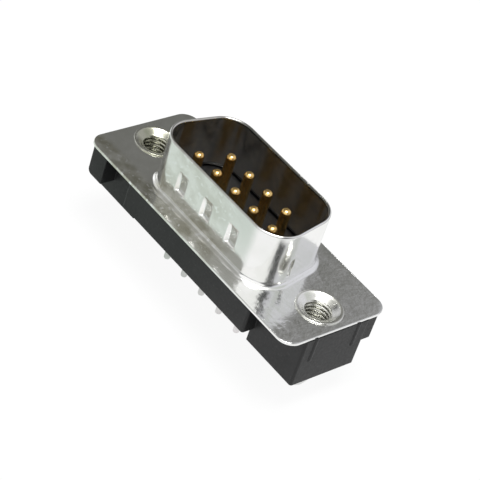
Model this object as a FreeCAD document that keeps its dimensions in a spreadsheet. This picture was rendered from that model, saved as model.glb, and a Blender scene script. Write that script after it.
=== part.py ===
"""Nine-way D-sub plug that solders upright to a circuit board, with its pins pointing up.

Millimetres. Z = 0 is the board's surface, X runs along the connector and the wide row of
five pins is on the -Y side. The origin is the middle of the two boardlocks.
"""
import FreeCAD, Part
import math
import os
import Sketcher

SIZES = {
    "pin_pitch": 2.77,
    "row_gap": 2.84,
    "lock_stand": 4.035,
    "seat_height": 5.7,
    "flange_end": 2.91,
    "flange_wide": 12.5,
    "flange_corner": 1.5,
    "sheet": 0.3,
    "insert_hole_dia": 4.0,
    "mouth_long": 16.92,
    "mouth_wide": 8.36,
    "mouth_corner": 2.6,
    "side_angle": 10.0,
    "shell_height": 5.9,
    "foot_bend": 0.6,
    "rim_chamfer": 0.08,
    "dent_wide": 1.3,
    "dent_tall": 2.2,
    "dent_deep": 0.3,
    "dent_slope": 0.2,
    "dent_pitch": 3.8,
    "dent_rise": 3.2,
    "end_dent_rise": 2.2,
    "end_dent_wide": 1.1,
    "face_rise": 0.1,
    "insulator_gap": 0.08,
    "plate_thick": 0.8,
    "body_margin": 0.94,
    "body_wide": 10.8,
    "body_lift": 1.75,
    "body_round": 0.25,
    "core_inset": 1.66,
    "core_wide": 1.5,
    "core_deep": 1.6,
    "core_offset": 3.75,
    "block_long": 6.5,
    "block_wide": 7.8,
    "block_proud": 0.05,
    "tab_long": 2.1,
    "tab_reach": 1.7,
    "tab_inset": 0.505,
    "tab_round": 0.5,
    "ridge_round": 0.35,
    "ridge_proud": 0.1,
    "ridge_offset": 2.6,
    "ridge_tall": 2.7,
    "pin_dia": 1.02,
    "pin_rise": 4.42,
    "pin_tip": 0.28,
    "shank_side": 1.1,
    "neck_side": 0.75,
    "neck_tall": 0.6,
    "neck_show": 0.1,
    "tail_dia": 0.64,
    "tail_drop": 3.05,
    "bore_gap": 0.02,
    "barrel_dia": 3.9,
    "barrel_gap": 0.03,
    "lip_dia": 4.6,
    "lip_rise": 0.12,
    "lip_chamfer": 0.06,
    "funnel_dia": 3.9,
    "funnel_deep": 0.6,
    "thread_dia": 2.3,
    "thread_floor": 1.1,
    "spigot_dia": 1.9,
    "spigot_drop": 0.4,
    "ring_dia": 5.2,
    "ring_thick": 0.4,
    "ring_gap": 0.05,
    "lock_dia": 3.0,
    "lock_straight": 1.65,
    "lock_root": 0.1,
    "barb_dia": 3.36,
    "barb_drop": 1.95,
    "lock_tip_dia": 2.3,
    "lock_drop": 3.05,
    "lock_slot": 0.8,
}
WIDE_ROW_PINS = 5
NARROW_ROW_PINS = 4
LONG_WALL_DENTS = 3
# How far a cutting tool runs past the faces it cuts through
OVERRUN = 1.0
# Places nearer to each other than this count as one place
SAME_PLACE = 1e-4
# A bevel this many times as wide as a quarter circle's radius touches the circle's middle
BEVEL_ON_ARC = 0.586

doc = FreeCAD.newDocument("plug")
sheet = doc.addObject("Spreadsheet::Sheet", "sizes")
for row, (word, number) in enumerate(SIZES.items(), start=1):
    sheet.set("A%d" % row, word)
    sheet.set("B%d" % row, str(number))
    sheet.setAlias("B%d" % row, word)
doc.recompute()


class Size:
    """A length that knows both its value and the sheet formula that gives it."""

    def __init__(self, value, text):
        self.value = value
        self.text = text

    def __add__(self, other):
        other = as_size(other)
        return Size(self.value + other.value, "(%s + %s)" % (self.text, other.text))

    def __sub__(self, other):
        other = as_size(other)
        return Size(self.value - other.value, "(%s - %s)" % (self.text, other.text))

    def __mul__(self, other):
        other = as_size(other)
        return Size(self.value * other.value, "%s * %s" % (self.text, other.text))

    def __truediv__(self, number):
        return Size(self.value / number, "%s / %s" % (self.text, number))

    def __neg__(self):
        return Size(-self.value, "(0 - %s)" % self.text)


def as_size(thing):
    return thing if isinstance(thing, Size) else Size(float(thing), str(thing))


def size(word):
    return Size(float(sheet.get(word)), "sizes.%s" % word)


def turn(function, word):
    """A sine, cosine or tangent of an angle in the sheet."""
    angle = math.radians(float(sheet.get(word)))
    return Size(getattr(math, function)(angle), "%s(sizes.%s * 1 deg)" % (function, word))


def bind(item, prop, length):
    item.setExpression(prop, as_size(length).text)


def new_body(label):
    body = doc.addObject("PartDesign::Body", label)
    body.Label = label
    return body


def new_sketch(body, name, plane="XY_Plane", level=0):
    """A sketch on one of the body's own planes, lifted along the plane's normal by level."""
    sketch = body.newObject("Sketcher::SketchObject", name)
    origin_plane = [f for f in body.Origin.OriginFeatures if f.Role == plane][0]
    sketch.AttachmentSupport = [(origin_plane, "")]
    sketch.MapMode = "FlatFace"
    bind(sketch, "AttachmentOffset.Base.z", level)
    return sketch


def fix_point(sketch, element, end, x, y):
    """Holds one end of an element at a place given by the sheet."""
    for kind, length in (("DistanceX", x), ("DistanceY", y)):
        number = sketch.addConstraint(Sketcher.Constraint(kind, -1, 1, element, end, length.value))
        bind(sketch, "Constraints[%d]" % number, length)


def draw(sketch, start, moves):
    """A closed outline of straight lines and arcs. Each move is (x, y) for a line, or
    (x, y, centre x, centre y) for an arc that turns to the left."""
    here = (as_size(start[0]), as_size(start[1]))
    first = None
    last = None
    for move in moves:
        there = (as_size(move[0]), as_size(move[1]))
        a = FreeCAD.Vector(here[0].value, here[1].value, 0)
        b = FreeCAD.Vector(there[0].value, there[1].value, 0)
        if len(move) == 2:
            element = sketch.addGeometry(Part.LineSegment(a, b), False)
        else:
            element = draw_arc(sketch, a, b, as_size(move[2]), as_size(move[3]))
        if last is not None:
            sketch.addConstraint(Sketcher.Constraint("Coincident", last, 2, element, 1))
        first = element if first is None else first
        last = element
        fix_point(sketch, element, 2, *there)
        here = there
    sketch.addConstraint(Sketcher.Constraint("Coincident", last, 2, first, 1))


def draw_arc(sketch, a, b, centre_x, centre_y):
    """An arc from a to b about a centre, which is held along the line it can still slide on."""
    middle = FreeCAD.Vector(centre_x.value, centre_y.value, 0)
    circle = Part.Circle(middle, FreeCAD.Vector(0, 0, 1), a.distanceToPoint(middle))
    begin = math.atan2(a.y - middle.y, a.x - middle.x)
    end = math.atan2(b.y - middle.y, b.x - middle.x)
    if end < begin:
        end += 2 * math.pi
    element = sketch.addGeometry(Part.ArcOfCircle(circle, begin, end), False)
    if abs(b.x - a.x) > abs(b.y - a.y):
        kind, length = "DistanceY", centre_y
    else:
        kind, length = "DistanceX", centre_x
    number = sketch.addConstraint(Sketcher.Constraint(kind, -1, 1, element, 3, length.value))
    bind(sketch, "Constraints[%d]" % number, length)
    return element


def draw_box(sketch, left, right, near, far):
    draw(sketch, (left, near), [(right, near), (right, far), (left, far), (left, near)])


def draw_circle(sketch, x, y, diameter):
    x, y, diameter = as_size(x), as_size(y), as_size(diameter)
    place = FreeCAD.Vector(x.value, y.value, 0)
    circle = sketch.addGeometry(Part.Circle(place, FreeCAD.Vector(0, 0, 1), diameter.value / 2), False)
    fix_point(sketch, circle, 3, x, y)
    number = sketch.addConstraint(Sketcher.Constraint("Diameter", circle, diameter.value))
    bind(sketch, "Constraints[%d]" % number, diameter)


def draw_d(sketch, long, wide, corner):
    """The D outline: two long sides joined by ends that lean in towards the narrow row.
    Its overall length is long and its overall width is wide."""
    lean, cos, sin = turn("tan", "side_angle"), turn("cos", "side_angle"), turn("sin", "side_angle")
    low = -(wide / 2 - corner)
    high = wide / 2 - corner
    broad = long / 2 - corner
    slim = broad - (wide - corner * 2) * lean
    out = corner * cos
    up = corner * sin
    draw(sketch, (-broad, -(wide / 2)), [
        (broad, -(wide / 2)),
        (broad + out, low + up, broad, low),
        (slim + out, high + up),
        (slim, wide / 2, slim, high),
        (-slim, wide / 2),
        (-slim - out, high + up, -slim, high),
        (-broad - out, low + up),
        (-broad, -(wide / 2), -broad, low),
    ])


def pad(body, sketch, name, height):
    feature = body.newObject("PartDesign::Pad", name)
    feature.Profile = sketch
    bind(feature, "Length", height)
    doc.recompute()
    return feature


def pocket(body, sketch, name, depth, upward=False):
    """Cuts a sketch's outline into the body, downwards unless it is told otherwise."""
    before = body.Shape.Volume
    feature = body.newObject("PartDesign::Pocket", name)
    feature.Profile = sketch
    feature.Reversed = upward
    bind(feature, "Length", depth)
    doc.recompute()
    if body.Shape.Volume >= before - 1e-6:
        raise RuntimeError("%s cuts nothing" % name)
    return feature


def round_edges(body, name, radius, test):
    """Rounds the edges of the body's present shape that pass the test."""
    base = body.Tip
    edges = ["Edge%d" % (i + 1) for i, edge in enumerate(base.Shape.Edges) if test(edge)]
    if not edges:
        raise RuntimeError("%s finds no edge" % name)
    feature = body.newObject("PartDesign::Fillet", name)
    feature.Base = (base, edges)
    bind(feature, "Radius", radius)
    doc.recompute()
    return feature


def chamfer_edges(body, name, width, test):
    """Bevels the edges of the body's present shape that pass the test."""
    base = body.Tip
    edges = ["Edge%d" % (i + 1) for i, edge in enumerate(base.Shape.Edges) if test(edge)]
    if not edges:
        raise RuntimeError("%s finds no edge" % name)
    feature = body.newObject("PartDesign::Chamfer", name)
    feature.Base = (base, edges)
    bind(feature, "Size", width)
    doc.recompute()
    return feature


def spin(body, name, start, moves):
    """A turned piece: its half profile in the XZ plane, turned about Z."""
    sketch = new_sketch(body, name + "_profile", "XZ_Plane")
    draw(sketch, start, moves)
    doc.recompute()
    feature = body.newObject("PartDesign::Revolution", name)
    feature.Profile = sketch
    feature.ReferenceAxis = (sketch, ["V_Axis"])
    feature.Angle = 360
    doc.recompute()
    return feature


def near(value, target):
    return abs(value - target) < SAME_PLACE


def level_edge(edge, z):
    box = edge.BoundBox
    return near(box.ZMin, z) and near(box.ZMax, z)


def upright_edge(edge):
    box = edge.BoundBox
    return near(box.XLength, 0) and near(box.YLength, 0) and not near(box.ZLength, 0)


# Levels above the board, shared by every piece
FLANGE_TOP = size("seat_height")
FLANGE_UNDER = FLANGE_TOP - size("sheet")
PLATE_UNDER = FLANGE_UNDER - size("plate_thick")
BODY_UNDER = size("body_lift")
NECK_TOP = BODY_UNDER + size("neck_tall")
NECK_UNDER = BODY_UNDER - size("neck_show")
MOUTH_TOP = FLANGE_TOP + size("shell_height")

# Reaches along the connector, all counted outwards from the mouth
BODY_X = size("mouth_long") / 2 + size("body_margin")
LOCK_X = size("mouth_long") / 2 + size("lock_stand")
FLANGE_X = LOCK_X + size("flange_end")


def pin_places():
    """Centres of the pins as X and Y: the wide row first, each row from -X to +X."""
    places = []
    for count, side in ((WIDE_ROW_PINS, -0.5), (NARROW_ROW_PINS, 0.5)):
        for i in range(count):
            places.append((size("pin_pitch") * (i - (count - 1) / 2), size("row_gap") * side))
    return places


def build_shell():
    """Drawn and plated steel: a flat flange and a D-shaped skirt of one sheet thickness."""
    wall = size("sheet")
    body = new_body("shell_blank")
    plan = new_sketch(body, "flange_plan", level=FLANGE_UNDER)
    half_wide = size("flange_wide") / 2
    draw_box(plan, -FLANGE_X, FLANGE_X, -half_wide, half_wide)
    pad(body, plan, "flange", wall)
    round_edges(body, "flange_corners", size("flange_corner"), upright_edge)

    outer = new_sketch(body, "skirt_outside", level=FLANGE_UNDER)
    outer_long, outer_wide = size("mouth_long") + wall * 2, size("mouth_wide") + wall * 2
    draw_d(outer, outer_long, outer_wide, size("mouth_corner") + wall)
    pad(body, outer, "skirt", size("shell_height") + wall)

    def skirt_edge(level):
        """A test for edges at a level that lie in the skirt's outline, not at the flange's rim."""
        def test(edge):
            box = edge.BoundBox
            within_x = max(-box.XMin, box.XMax) < outer_long.value / 2 + SAME_PLACE
            within_y = max(-box.YMin, box.YMax) < outer_wide.value / 2 + SAME_PLACE
            return within_x and within_y and level_edge(edge, level.value)
        return test

    round_edges(body, "foot_outside", size("foot_bend"), skirt_edge(FLANGE_TOP))

    inner = new_sketch(body, "skirt_inside", level=MOUTH_TOP)
    draw_d(inner, size("mouth_long"), size("mouth_wide"), size("mouth_corner"))
    pocket(body, inner, "cavity", size("shell_height") + wall * 2)
    # The bend's inner face is hidden, so a bevel that touches its arc stands in for it
    hidden_bend = size("foot_bend") + wall
    chamfer_edges(body, "foot_inside", hidden_bend * BEVEL_ON_ARC, skirt_edge(FLANGE_UNDER))
    chamfer_edges(body, "rim", size("rim_chamfer"), lambda edge: level_edge(edge, MOUTH_TOP.value))

    holes = new_sketch(body, "insert_holes", level=FLANGE_TOP)
    for side in (-1, 1):
        draw_circle(holes, LOCK_X * side, 0, size("insert_hole_dia"))
    pocket(body, holes, "insert_hole_cut", wall * 2)
    return body


def dent_tool(name, wide, grow, rise, face, deep):
    """A block with sloping sides that narrows along +Y from the wall's face inwards."""
    tool = doc.addObject("Part::Wedge", name)
    half = wide / 2 + grow
    slope = size("dent_slope")
    tall = size("dent_tall") / 2 + grow
    middle = FLANGE_TOP + rise
    lengths = {
        "Xmin": -half, "Xmax": half, "X2min": -(half - slope), "X2max": half - slope,
        "Zmin": middle - tall, "Zmax": middle + tall,
        "Z2min": middle - tall + slope, "Z2max": middle + tall - slope,
        "Ymin": face, "Ymax": face + deep,
    }
    for prop, length in lengths.items():
        bind(tool, prop, length)
    return tool


def build_dents(blank):
    """Grounding dents pressed into the skirt: three in the wide wall and one in each end."""
    wall = size("sheet")
    deep = size("dent_deep")
    bumps, hollows = [], []
    wide_face = -(size("mouth_wide") / 2)
    for i in range(LONG_WALL_DENTS):
        shift = size("dent_pitch") * (i - (LONG_WALL_DENTS - 1) / 2)
        wide, rise = size("dent_wide"), size("dent_rise")
        bump = dent_tool("bump_%d" % (i + 1), wide, wall / 2, rise, wide_face, deep)
        hollow = dent_tool("hollow_%d" % (i + 1), wide, as_size(0), rise, wide_face - wall, deep)
        for tool, group in ((bump, bumps), (hollow, hollows)):
            bind(tool, "Placement.Base.x", shift)
            group.append(tool)
    # An end wall stands mouth_long / 2 from the middle at its widest and leans by side_angle,
    # so its tool is drawn against a wall at right angles and then turned and shifted.
    corner = size("mouth_corner")
    straight = (size("mouth_long") / 2 - corner) * turn("cos", "side_angle") + corner
    drop = (size("mouth_wide") / 2 - corner) * turn("sin", "side_angle")
    face = -(straight - drop)
    for side, name in ((1, "right"), (-1, "left")):
        angle = (size("side_angle") + 90) * side
        wide, rise = size("end_dent_wide"), size("end_dent_rise")
        bump = dent_tool("bump_" + name, wide, wall / 2, rise, face, deep)
        hollow = dent_tool("hollow_" + name, wide, as_size(0), rise, face - wall, deep)
        for tool, group in ((bump, bumps), (hollow, hollows)):
            tool.Placement.Rotation = FreeCAD.Rotation(FreeCAD.Vector(0, 0, 1), angle.value)
            bind(tool, "Placement.Rotation.Angle", angle)
            group.append(tool)
    raised = doc.addObject("Part::MultiFuse", "shell_with_bumps")
    raised.Shapes = [blank] + bumps
    dug = doc.addObject("Part::MultiFuse", "dent_hollows")
    dug.Shapes = hollows
    shell = doc.addObject("Part::Cut", "front_shell")
    shell.Base = raised
    shell.Tool = dug
    shell.Label = "front_shell"
    doc.recompute()
    return shell


def build_pin_insulator():
    """The moulding that fills the shell's foot: a plate held under the flange and a D-shaped
    boss whose face carries the pins."""
    body = new_body("pin_insulator")
    plan = new_sketch(body, "plate_plan", level=PLATE_UNDER)
    half_wide = size("body_wide") / 2
    draw_box(plan, -BODY_X, BODY_X, -half_wide, half_wide)
    pad(body, plan, "plate", size("plate_thick"))
    round_edges(body, "plate_corners", size("body_round"), upright_edge)

    boss = new_sketch(body, "boss_plan", level=PLATE_UNDER)
    gap = size("insulator_gap")
    draw_d(boss, size("mouth_long") - gap * 2, size("mouth_wide") - gap * 2, size("mouth_corner") - gap)
    face = FLANGE_TOP + size("face_rise")
    pad(body, boss, "boss", face - PLATE_UNDER)

    bores = new_sketch(body, "pin_bores", level=face)
    for x, y in pin_places():
        draw_circle(bores, x, y, size("pin_dia") + size("bore_gap") * 2)
    pocket(body, bores, "pin_bore_cut", face - PLATE_UNDER + OVERRUN)
    return body


def build_housing():
    """The black rear moulding: a raised middle that holds the contacts, an end block at each
    side that stands on the board, and two corner tabs on opposite corners."""
    body = new_body("rear_housing")
    mid_x, mid_y = BODY_X, size("body_wide") / 2
    end_x, end_y = FLANGE_X + size("block_proud"), size("block_wide") / 2
    tab_out = FLANGE_X - size("tab_inset")
    tab_in = tab_out - size("tab_long")
    tab_y = end_y + size("tab_reach")

    middle = new_sketch(body, "upper_plan", level=BODY_UNDER)
    draw(middle, (-mid_x, -mid_y), [
        (mid_x, -mid_y), (mid_x, -end_y), (end_x, -end_y), (end_x, end_y),
        (tab_out, end_y), (tab_out, tab_y), (tab_in, tab_y), (tab_in, end_y),
        (mid_x, end_y), (mid_x, mid_y), (-mid_x, mid_y), (-mid_x, end_y),
        (-end_x, end_y), (-end_x, -end_y),
        (-tab_out, -end_y), (-tab_out, -tab_y), (-tab_in, -tab_y), (-tab_in, -end_y),
        (-mid_x, -end_y), (-mid_x, -mid_y),
    ])
    pad(body, middle, "upper", FLANGE_UNDER - BODY_UNDER)

    feet = new_sketch(body, "feet_plan")
    foot_in = end_x - size("block_long")
    draw_box(feet, foot_in, end_x, -end_y, end_y)
    draw_box(feet, -end_x, -foot_in, -end_y, end_y)
    pad(body, feet, "feet", BODY_UNDER)

    # Upright half-round ridges on the two end faces
    ridges = new_sketch(body, "ridge_plan", level=FLANGE_UNDER - size("ridge_tall"))
    ridge_x = end_x + size("ridge_proud") - size("ridge_round")
    for side_x in (-1, 1):
        for side_y in (-1, 1):
            ridge_y = size("ridge_offset") * side_y
            draw_circle(ridges, ridge_x * side_x, ridge_y, size("ridge_round") * 2)
    pad(body, ridges, "ridges", size("ridge_tall"))

    def outer_corner(edge):
        box = edge.BoundBox
        at_block = near(abs(box.XMin), end_x.value) and near(abs(box.YMin), end_y.value)
        at_middle = near(abs(box.XMin), mid_x.value) and near(abs(box.YMin), mid_y.value)
        return upright_edge(edge) and (at_block or at_middle)

    round_edges(body, "outer_corners", size("body_round"), outer_corner)

    def tab_corner(edge):
        box = edge.BoundBox
        lies_low = level_edge(edge, BODY_UNDER.value)
        runs_across = near(box.XLength, 0) and not near(box.YLength, 0)
        return lies_low and runs_across and near(abs(box.XMin), tab_out.value)

    round_edges(body, "tab_corners", size("tab_round"), tab_corner)

    saddle = new_sketch(body, "saddle_plan", level=FLANGE_UNDER)
    draw_box(saddle, -mid_x, mid_x, -(mid_y + OVERRUN), mid_y + OVERRUN)
    pocket(body, saddle, "saddle", size("plate_thick"))

    # Square bores, stepped in at the foot so that each contact's shank rests on a ledge
    steps = (("shank_bores", PLATE_UNDER, size("shank_side"), PLATE_UNDER - NECK_TOP),
             ("neck_bores", NECK_TOP, size("neck_side"), NECK_TOP - BODY_UNDER + OVERRUN))
    for name, level, side, depth in steps:
        bores = new_sketch(body, name + "_plan", level=level)
        half = side / 2 + size("bore_gap")
        for x, y in pin_places():
            draw_box(bores, x - half, x + half, y - half, y + half)
        pocket(body, bores, name, depth)

    cores = new_sketch(body, "core_plan", level=BODY_UNDER)
    core_x = size("mouth_long") / 2 - size("core_inset")
    for side in (-1, 1):
        core_low = size("core_offset") - size("core_wide") / 2
        core_high = size("core_offset") + size("core_wide") / 2
        if side < 0:
            core_low, core_high = -core_high, -core_low
        draw_box(cores, -core_x, core_x, core_low, core_high)
    pocket(body, cores, "cores", size("core_deep"), upward=True)

    rings = new_sketch(body, "ring_seat_plan")
    barrels = new_sketch(body, "barrel_bore_plan", level=FLANGE_UNDER)
    for side in (-1, 1):
        draw_circle(rings, LOCK_X * side, 0, size("ring_dia") + size("ring_gap") * 2)
        draw_circle(barrels, LOCK_X * side, 0, size("barrel_dia") + size("barrel_gap") * 2)
    pocket(body, rings, "ring_seats", size("ring_thick"), upward=True)
    pocket(body, barrels, "barrel_bores", FLANGE_UNDER + OVERRUN)
    return body


def build_contact(number, x, y):
    """One contact: a round pin with a bevelled tip, a square shank that rests on the
    housing's ledge under the front plate, a narrower neck and a round solder tail."""
    body = new_body("contact_%d" % number)
    radius = size("pin_dia") / 2
    top = FLANGE_TOP + size("pin_rise")
    tip = size("pin_tip")
    spin(body, "pin", (0, PLATE_UNDER), [
        (radius, PLATE_UNDER), (radius, top - tip), (radius - tip, top),
        (0, top), (0, PLATE_UNDER),
    ])
    for name, low, high, side in (("shank", NECK_TOP, PLATE_UNDER, size("shank_side")),
                                  ("neck", NECK_UNDER, NECK_TOP, size("neck_side"))):
        plan = new_sketch(body, name + "_plan", level=low)
        draw_box(plan, -(side / 2), side / 2, -(side / 2), side / 2)
        pad(body, plan, name, high - low)
    foot = new_sketch(body, "tail_plan", level=-size("tail_drop"))
    draw_circle(foot, 0, 0, size("tail_dia"))
    pad(body, foot, "tail", NECK_UNDER + size("tail_drop"))
    bind(body, "Placement.Base.x", x)
    bind(body, "Placement.Base.y", y)
    return body


def build_insert(label, side):
    """An insert flared over the flange like a funnel, tapped inside and closed at its foot,
    where a spigot holds the boardlock's ring."""
    body = new_body(label)
    barrel, lip = size("barrel_dia") / 2, size("lip_dia") / 2
    funnel, thread = size("funnel_dia") / 2, size("thread_dia") / 2
    spigot, foot = size("spigot_dia") / 2, -size("spigot_drop")
    top = FLANGE_TOP + size("lip_rise")
    bevel = size("lip_chamfer")
    seat = size("ring_thick")
    spin(body, "turned", (0, foot), [
        (spigot, foot), (spigot, seat), (barrel, seat),
        (barrel, FLANGE_TOP), (lip, FLANGE_TOP),
        (lip, top - bevel), (lip - bevel, top), (funnel, top),
        (thread, top - size("funnel_deep")), (thread, size("thread_floor")),
        (0, size("thread_floor")), (0, foot),
    ])
    bind(body, "Placement.Base.x", LOCK_X * side)
    return body


def build_boardlock(label, side):
    """A sprung lock: a ring let into the end block and, below it, a barbed tube that a slot
    splits into two prongs."""
    body = new_body(label)
    ring, outside = size("ring_dia") / 2, size("lock_dia") / 2
    inside = size("spigot_dia") / 2
    barb, tip = size("barb_dia") / 2, size("lock_tip_dia") / 2
    straight, widest, bottom = -size("lock_straight"), -size("barb_drop"), -size("lock_drop")
    thick = size("ring_thick")
    root = size("lock_root")
    spin(body, "turned", (inside, bottom), [
        (tip, bottom), (barb, widest), (outside, straight),
        (outside, -root), (outside + root, 0), (ring, 0), (ring, thick),
        (inside, thick), (inside, bottom),
    ])
    slot = new_sketch(body, "slot_plan", level=-root)
    half = size("lock_slot") / 2
    draw_box(slot, -half, half, -ring, ring)
    pocket(body, slot, "slot", size("lock_drop"))
    bind(body, "Placement.Base.x", LOCK_X * side)
    return body


def build():
    parts = [build_dents(build_shell()), build_pin_insulator(), build_housing()]
    for number, (x, y) in enumerate(pin_places(), start=1):
        parts.append(build_contact(number, x, y))
    for name, side in (("left", -1), ("right", 1)):
        parts.append(build_insert("threaded_insert_" + name, side))
        parts.append(build_boardlock("boardlock_" + name, side))
    doc.recompute()
    return parts


def check(parts):
    for item in doc.Objects:
        if any(word in item.State for word in ("Invalid", "Error")):
            raise RuntimeError("%s failed: %s" % (item.Label, item.State))
    for part in parts:
        shape = part.Shape
        if shape.isNull() or not shape.isValid():
            raise RuntimeError("%s has no valid shape" % part.Label)
        print("%-22s solids %d volume %.3f" % (part.Label, len(shape.Solids), shape.Volume))


finished = build()
check(finished)
os.makedirs("parts", exist_ok=True)
for part in finished:
    part.Shape.exportStep("parts/%s.step" % part.Label)
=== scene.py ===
"""Looks of an upright nine-way D-sub plug: drawn and tin-plated shell, gold pins, flared
threaded inserts and black mouldings, on a plain white stage.

Metres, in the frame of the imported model: Z = 0 is the board's surface, X runs along the
connector, and the wide row of five pins is on the -Y side.
"""

import bmesh
import bpy
import numpy as np
from mathutils import Matrix, Vector
from mathutils.geometry import delaunay_2d_cdt


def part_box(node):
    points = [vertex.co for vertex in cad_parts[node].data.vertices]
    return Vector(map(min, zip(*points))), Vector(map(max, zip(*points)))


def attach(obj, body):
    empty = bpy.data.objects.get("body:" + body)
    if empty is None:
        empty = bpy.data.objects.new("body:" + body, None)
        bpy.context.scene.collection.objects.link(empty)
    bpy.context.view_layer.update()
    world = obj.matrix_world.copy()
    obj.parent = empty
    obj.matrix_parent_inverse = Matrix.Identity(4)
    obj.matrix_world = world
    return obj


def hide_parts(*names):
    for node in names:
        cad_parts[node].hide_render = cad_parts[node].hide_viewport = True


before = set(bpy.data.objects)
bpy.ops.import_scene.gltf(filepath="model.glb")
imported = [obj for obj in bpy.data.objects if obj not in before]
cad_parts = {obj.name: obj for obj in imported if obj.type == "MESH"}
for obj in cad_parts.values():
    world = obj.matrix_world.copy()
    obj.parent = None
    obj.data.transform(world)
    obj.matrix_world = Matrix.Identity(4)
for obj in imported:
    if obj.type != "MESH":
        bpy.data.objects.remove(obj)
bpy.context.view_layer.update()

MM = 0.001

# Levels and reaches read from the frame, and the thickness of the shell's sheet
SHELL_LOW, SHELL_HIGH = (np.array(corner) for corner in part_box("front_shell"))
SHEET = 0.3 * MM
FLANGE_UNDER = SHELL_LOW[2]
FLANGE_TOP = FLANGE_UNDER + SHEET
MOUTH_TOP = SHELL_HIGH[2]
PLATE_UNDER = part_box("pin_insulator")[0].z
TIP_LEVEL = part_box("contact_1")[0].z

# The drawn shell
MOUTH_LONG = 16.92 * MM
MOUTH_WIDE = 8.36 * MM
MOUTH_CORNER = 2.6 * MM
SIDE_ANGLE = np.radians(10.0)
FOOT_BEND = 0.6 * MM
FLANGE_CORNER = 1.5 * MM
EDGE_ROLL = 0.06 * MM
RIM_ROLL = 0.145 * MM
INSERT_HOLE = 2.0 * MM

# The dents pressed into the skirt. Heights are from the flange's top to a dent's middle.
DENT_WIDE = 1.45 * MM
DENT_TALL = 2.2 * MM
DENT_DEEP = 0.34 * MM
DENT_SLOPE = 0.3 * MM
DENT_STEP = 0.14 * MM
DENT_RAMP = 0.4
DENT_PITCH = 3.8 * MM
DENT_RISE = 2.75 * MM
END_DENT_WIDE = 0.6 * MM
END_DENT_RISE = 1.85 * MM
END_DENT_SHIFT = -1.1 * MM
INNER_DENT_GROW = 0.5 * MM
INNER_DENT_SLOPE = 0.8 * MM
INNER_DENT_RAMP = 1.5
INNER_DENT_SHARE = 0.5

# Points round each corner of the D outline, along its right end, narrow wall, left end and
# wide wall, whose dents need the most, up the skirt's wall and round an insert's hole
D_CORNER_POINTS = 26
D_SIDE_POINTS = (60, 12, 60, 230)
WALL_POINTS = 76
HOLE_SIDES = 48

# How far a normal may be off its wall's and still count as that wall's
NORMAL_SLACK = 1e-3

# Contacts
PIN_ROUND = 0.42 * MM
PIN_RADIUS = 0.51 * MM
COLLAR_TALL = 0.6 * MM
SHANK_RADIUS = 0.45 * MM
TAIL_SHOULDER = 1.65 * MM
TAIL_BEVEL = 0.04 * MM
TAIL_RADIUS = 0.32 * MM
TAIL_ROUND = 0.2 * MM
CONTACT_SIDES = 48

# Threaded inserts
LIP_ROLL = 0.05 * MM
LIP_FLAT = 0.14 * MM
FLARE_DEEP = 0.46 * MM
THREAD_LEAD = 0.02 * MM
THREAD_PITCH = 0.45 * MM
THREAD_DEPTH = 0.1 * MM
THREAD_CREST = 1.27 * MM
THREAD_FLOOR = 1.1 * MM
BARREL_RADIUS = 1.95 * MM
BARREL_FOOT = 0.4 * MM
SPIGOT_RADIUS = 0.95 * MM
INSERT_SIDES = 96
FLARE_POINTS = 24
ROWS_PER_TURN = 14

# Edges that turn by more than these angles stay crisp, in radians
CRISP_ANGLE = 0.9
CRISP_INSERT_ANGLE = 0.7

# Points closer than these are one point: in a profile or loop, and when parts are merged
SAME_POINT = 1e-9
MERGE_REACH = 1e-6


# Meshes

def make_mesh(name, parts):
    """One smooth mesh object from parts, linked to the scene. Each part is an array of
    points and an array of faces that counts the part's own points from zero."""
    first = np.cumsum([0] + [len(points) for points, _ in parts[:-1]])
    points = np.concatenate([points for points, _ in parts])
    faces = [face for (_, group), start in zip(parts, first)
             for face in (group + start).tolist()]
    mesh = bpy.data.meshes.new(name)
    mesh.from_pydata(points.tolist(), [], faces)
    mesh.update()
    mesh.shade_smooth()
    piece = bpy.data.objects.new(name, mesh)
    bpy.context.scene.collection.objects.link(piece)
    return piece


def grid_faces(rows, columns):
    """Quads between the points of a grid whose rows follow each other, each row a closed
    ring."""
    row, column = np.meshgrid(np.arange(rows - 1), np.arange(columns), indexing="ij")
    after = (column + 1) % columns
    quads = np.stack([row * columns + column, row * columns + after,
                      (row + 1) * columns + after, (row + 1) * columns + column], axis=-1)
    return quads.reshape(-1, 4)


def merge_doubles(piece):
    """Joins points that share a place, so that separately worked out parts meet, and turns
    the faces outwards."""
    work = bmesh.new()
    work.from_mesh(piece.data)
    bmesh.ops.remove_doubles(work, verts=work.verts, dist=MERGE_REACH)
    bmesh.ops.recalc_face_normals(work, faces=work.faces)
    work.to_mesh(piece.data)
    work.free()


def soften_normals(piece, angle):
    """Smooth shading that keeps flat faces flat and edges sharper than the angle crisp."""
    piece.data.set_sharp_from_angle(angle=angle)
    modifier = piece.modifiers.new("flat_first", "WEIGHTED_NORMAL")
    modifier.keep_sharp = True


def arc(centre, radius, start, end, steps):
    """Points on a circle about a centre, from one angle to another, in degrees."""
    angle = np.radians(np.linspace(start, end, steps))
    return np.stack([centre[0] + radius * np.cos(angle),
                     centre[1] + radius * np.sin(angle)], axis=1)


def line(start, end, steps):
    """Evenly spaced points from start to end, both kept."""
    share = np.linspace(0.0, 1.0, steps)[:, None]
    return np.array(start) * (1 - share) + np.array(end) * share


def join(*pieces):
    """Point lists end to end, without the points that would come twice."""
    points = np.concatenate(pieces)
    apart = np.linalg.norm(np.diff(points, axis=0), axis=1) > SAME_POINT
    return points[np.concatenate([[True], apart])]


def lift(loop, level):
    """A flat loop of points set at a level."""
    return np.column_stack([loop, np.full(len(loop), level)])


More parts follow.
